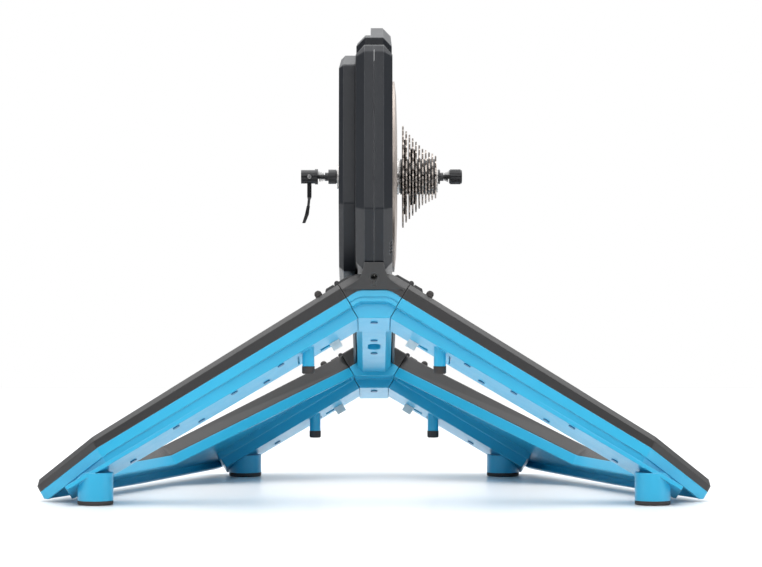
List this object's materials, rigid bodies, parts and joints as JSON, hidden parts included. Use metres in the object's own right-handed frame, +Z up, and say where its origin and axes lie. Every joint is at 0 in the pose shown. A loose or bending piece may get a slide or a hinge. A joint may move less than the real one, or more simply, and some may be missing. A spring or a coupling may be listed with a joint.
{
  "type": "direct drive bike trainer",
  "caption": "Indoor bicycle trainer with a slim upright motor housing, a rear sprocket cassette on its axle and two blue folding wings that stand on rubber feet.",
  "frame": {"origin": "centre of the trainer's footprint on the floor", "axes": "+X towards the drive side with the sprockets, +Y forwards, away from the axle end the rider's bike is fitted from, +Z up"},
  "size_m": [0.7608, 0.574, 0.5503],
  "materials": {
    "blue": "satin",
    "black": "matte",
    "housing": "matte",
    "gloss_black": "gloss",
    "rubber": "matte",
    "steel": "brushed",
    "bright_steel": "polished",
    "dark_steel": "satin",
    "black_steel": "satin",
    "aluminium": "satin",
    "black_alloy": "anodised",
    "nickel": "polished",
    "copper": "satin",
    "board": "matte",
    "clear": "translucent"
  },
  "bodies": {
    "stand": {"base_spine": "blue", "base_cover": "black", "rear_cover": "black", "spine_screws": "dark_steel", "center_hinge_leaves": "black_steel", "hinge_pins": "steel", "power_socket": "gloss_black", "socket_contacts": "nickel", "body_shell_right": "housing", "body_shell_left": "housing", "top_cap": "housing", "motor_cover": "housing", "motor_mast": "steel", "stator_carrier": "aluminium", "stator_core": "steel", "stator_coils": "copper", "circuit_board": "board", "drive_disc": "aluminium", "axle": "black_steel", "axle_spacer": "black_steel", "axle_boss": "aluminium", "end_cap": "aluminium", "hub_bearings": "bright_steel"},
    "left_wing": {"left_wing_frame": "blue", "left_wing_cover": "black", "left_wing_leaves": "black_steel", "left_wing_rubber": "rubber", "left_wing_screws": "dark_steel"},
    "right_wing": {"right_wing_frame": "blue", "right_wing_cover": "black", "right_wing_leaves": "black_steel", "right_wing_rubber": "rubber", "right_wing_screws": "dark_steel"},
    "left_rear_clip": {"left_rear_latch": "clear"},
    "left_front_clip": {"left_front_latch": "clear"},
    "right_rear_clip": {"right_rear_latch": "clear"},
    "right_front_clip": {"right_front_latch": "clear"},
    "rotor": {"rotor": "steel", "rotor_magnets": "nickel"},
    "freehub": {"freehub_body": "aluminium", "large_spider": "black_alloy", "medium_spider": "black_alloy", "sprockets_large": "bright_steel", "sprockets_medium": "bright_steel", "sprocket_17": "bright_steel", "sprocket_15": "bright_steel", "sprocket_14": "bright_steel", "sprocket_13": "bright_steel", "sprocket_12": "bright_steel", "sprocket_11": "bright_steel", "cassette_spacers": "black_alloy", "lockring": "aluminium"},
    "skewer": {"skewer_rod": "steel", "skewer_head": "black_alloy", "cam_pin": "steel", "left_spring": "steel"},
    "lever": {"skewer_lever": "black_alloy"},
    "nut": {"skewer_nut": "black_alloy", "right_spring": "steel"}
  },
  "joints": [
    {"name": "left_wing_fold", "type": "hinge", "parent": "stand", "child": "left_wing", "pos_m": [-0.04168, 0.00303, 0.19654], "axis": [0, 0.976, -0.2176], "range_deg": [0, 118]},
    {"name": "right_wing_fold", "type": "hinge", "parent": "stand", "child": "right_wing", "pos_m": [0.04168, 0.00303, 0.19654], "axis": [0, -0.976, 0.2176], "range_deg": [0, 118]},
    {"name": "left_rear_clip_slide", "type": "slide", "parent": "left_wing", "child": "left_rear_clip", "axis": [-0.8607, -0.1108, -0.4968], "range_m": [0, 0.008]},
    {"name": "left_front_clip_slide", "type": "slide", "parent": "left_wing", "child": "left_front_clip", "axis": [-0.8607, -0.1108, -0.4968], "range_m": [0, 0.008]},
    {"name": "right_rear_clip_slide", "type": "slide", "parent": "right_wing", "child": "right_rear_clip", "axis": [0.8607, -0.1108, -0.4968], "range_m": [0, 0.008]},
    {"name": "right_front_clip_slide", "type": "slide", "parent": "right_wing", "child": "right_front_clip", "axis": [0.8607, -0.1108, -0.4968], "range_m": [0, 0.008]},
    {"name": "rotor_spin", "type": "hinge", "parent": "stand", "child": "rotor", "pos_m": [0, -0.0613, 0.3685], "axis": [1, 0, 0], "continuous": true},
    {"name": "freehub_spin", "type": "hinge", "parent": "stand", "child": "freehub", "pos_m": [0, -0.0613, 0.3685], "axis": [1, 0, 0], "continuous": true},
    {"name": "skewer_turn", "type": "hinge", "parent": "stand", "child": "skewer", "pos_m": [0, -0.0613, 0.3685], "axis": [1, 0, 0], "continuous": true},
    {"name": "lever_swing", "type": "hinge", "parent": "skewer", "child": "lever", "pos_m": [-0.0754, -0.0613, 0.3685], "axis": [0, 1, 0], "range_deg": [0, 180]},
    {"name": "nut_turn", "type": "hinge", "parent": "skewer", "child": "nut", "pos_m": [0.095, -0.0613, 0.3685], "axis": [1, 0, 0], "continuous": true}
  ],
  "couplings": [
    {"joint": "freehub_spin", "follows": "rotor_spin", "ratio": 1}
  ]
}
